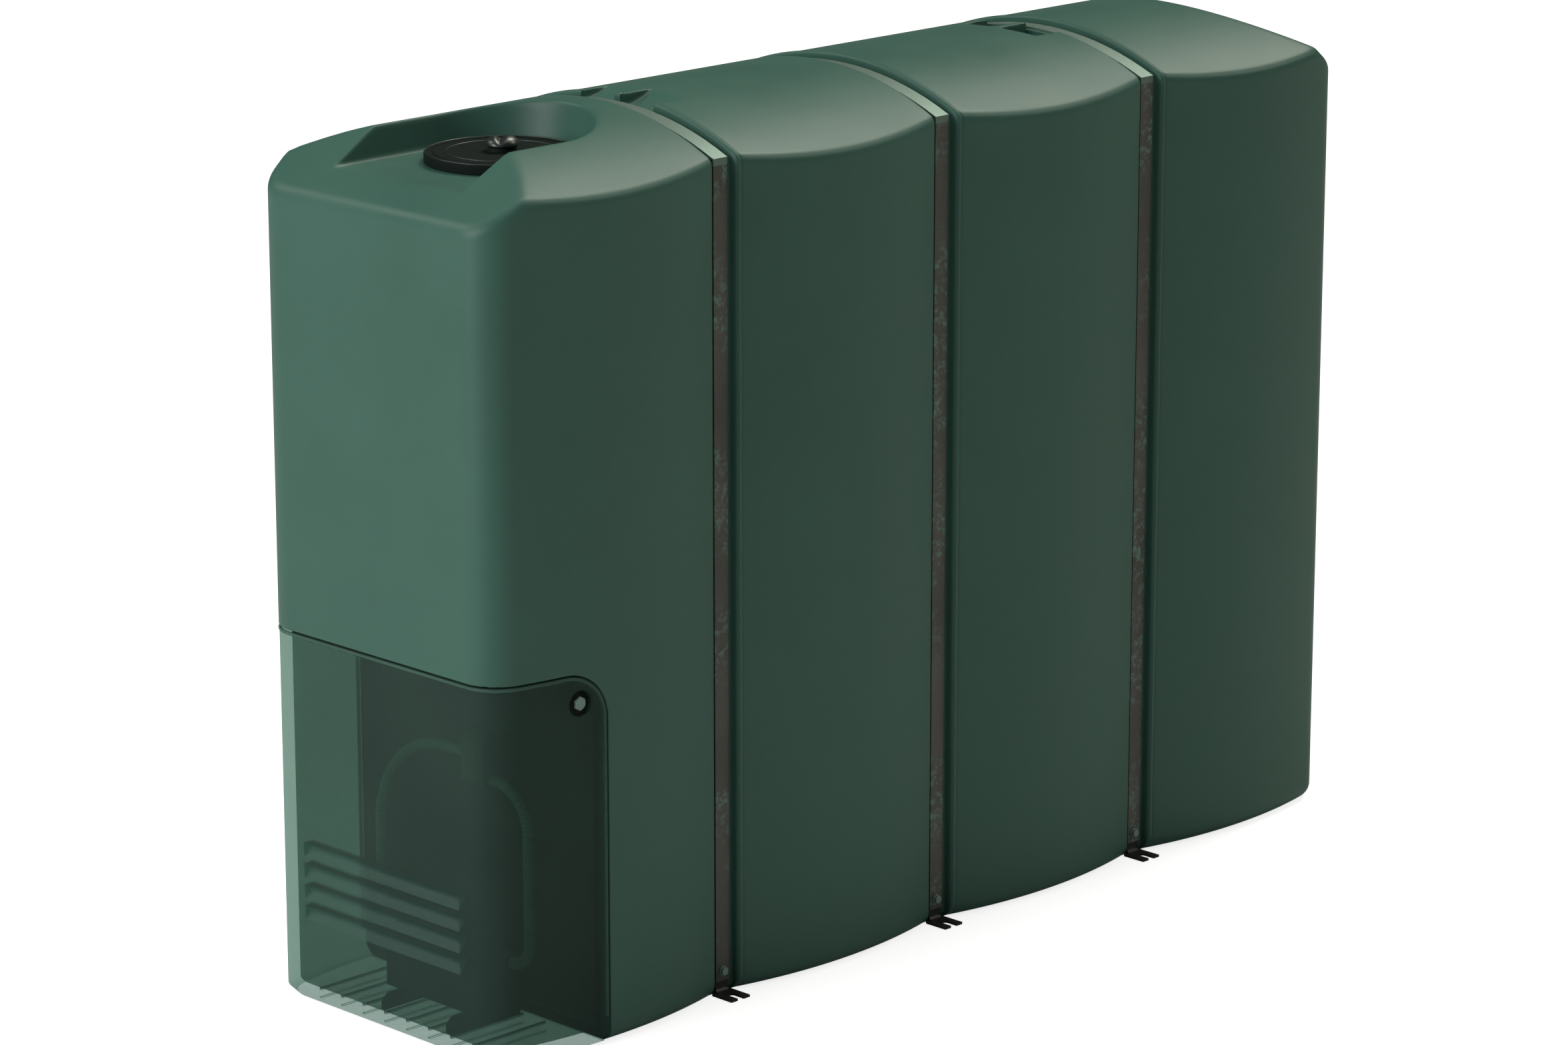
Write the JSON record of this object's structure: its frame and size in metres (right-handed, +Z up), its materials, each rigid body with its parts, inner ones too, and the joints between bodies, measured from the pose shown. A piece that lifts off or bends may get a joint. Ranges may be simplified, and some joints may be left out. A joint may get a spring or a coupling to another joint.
{
  "type": "slimline water tank",
  "caption": "Slim moulded rainwater tank with bulged bays, an arched roof with a recessed screw lid, steel hold-down straps on slotted feet and a pump cover at one end.",
  "frame": {"origin": "on the ground at the middle of the tank's outline", "axes": "+X along the tank away from the pump cover, +Y to the far long side, +Z up"},
  "size_m": [2.996, 0.9006, 2.154],
  "materials": {
    "tank_green": "fine-grained matt moulded polyethylene",
    "cover_green": "translucent satin moulded polyethylene",
    "lid_black": "matt black moulded plastic",
    "strap_steel": "weathered grey zinc finish",
    "foot_steel": "dull galvanised",
    "pump_black": "matt black moulded housing",
    "fitting_black": "matt black moulded fitting",
    "hose_black": "ribbed flexible hose"
  },
  "bodies": {
    "root": {"access_lid": "lid_black", "back_end_wall": "tank_green", "far_foot_1": "foot_steel", "far_foot_2": "foot_steel", "far_foot_3": "foot_steel", "far_wall_bay_1": "tank_green", "far_wall_bay_2": "tank_green", "far_wall_bay_3": "tank_green", "far_wall_bay_4": "tank_green", "front_end_wall": "tank_green", "lid_neck": "tank_green", "near_foot_1": "foot_steel", "near_foot_2": "foot_steel", "near_foot_3": "foot_steel", "near_wall_bay_1": "tank_green", "near_wall_bay_2": "tank_green", "near_wall_bay_3": "tank_green", "near_wall_bay_4": "tank_green", "outlet_fitting": "fitting_black", "pump_base": "pump_black", "pump_cover": "cover_green", "pump_housing": "pump_black", "pump_recess_wall": "tank_green", "return_hose": "hose_black", "riser_hose": "hose_black", "roof_bay_1": "tank_green", "roof_bay_2": "tank_green", "roof_bay_3": "tank_green", "roof_bay_4": "tank_green", "strap_1": "strap_steel", "strap_2": "strap_steel", "strap_3": "strap_steel", "tank_floor": "tank_green"}
  },
  "joints": []
}
